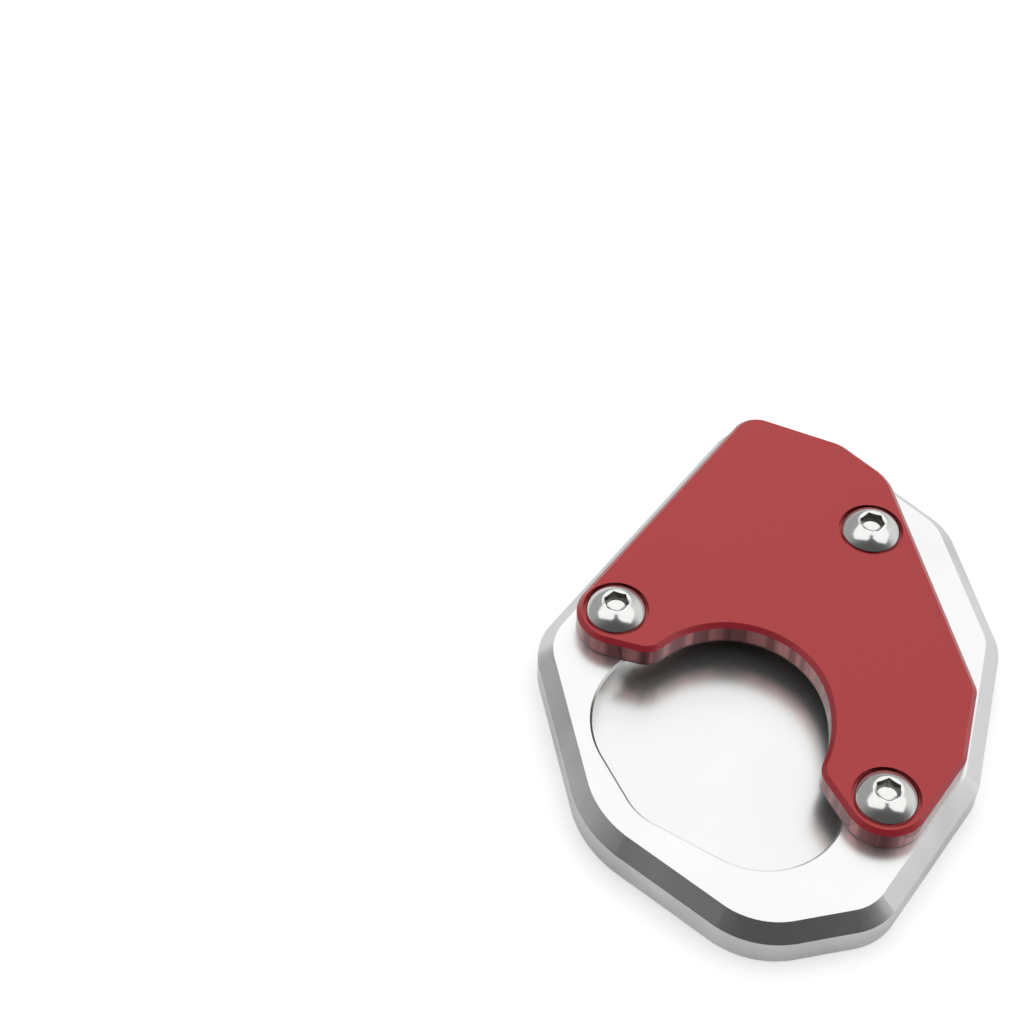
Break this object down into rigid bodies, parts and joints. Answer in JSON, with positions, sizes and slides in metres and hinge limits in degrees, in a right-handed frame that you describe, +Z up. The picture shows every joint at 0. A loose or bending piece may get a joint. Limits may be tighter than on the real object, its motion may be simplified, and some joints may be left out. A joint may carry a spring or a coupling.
{
  "type": "kickstand foot enlarger",
  "caption": "Milled base plate that widens a motorcycle side stand's foot, with a pocket for the foot and a notched clamp plate screwed over it.",
  "frame": {"origin": "centre of the bounding box of the base plate, on its underside", "axes": "+Z up out of the plates, +Y towards the narrow end, +X towards the side away from the leg notch"},
  "size_m": [0.0814, 0.1096, 0.0147],
  "materials": {
    "clear_aluminium": "clear anodised over fine milling, satin",
    "red_anodised": "red anodised, fine satin top with smooth glossy walls",
    "stainless_steel": "turned stainless steel, bright"
  },
  "bodies": {
    "root": {"base_plate": "clear_aluminium", "clamp_plate": "red_anodised", "cap_screws": "stainless_steel"}
  },
  "joints": []
}
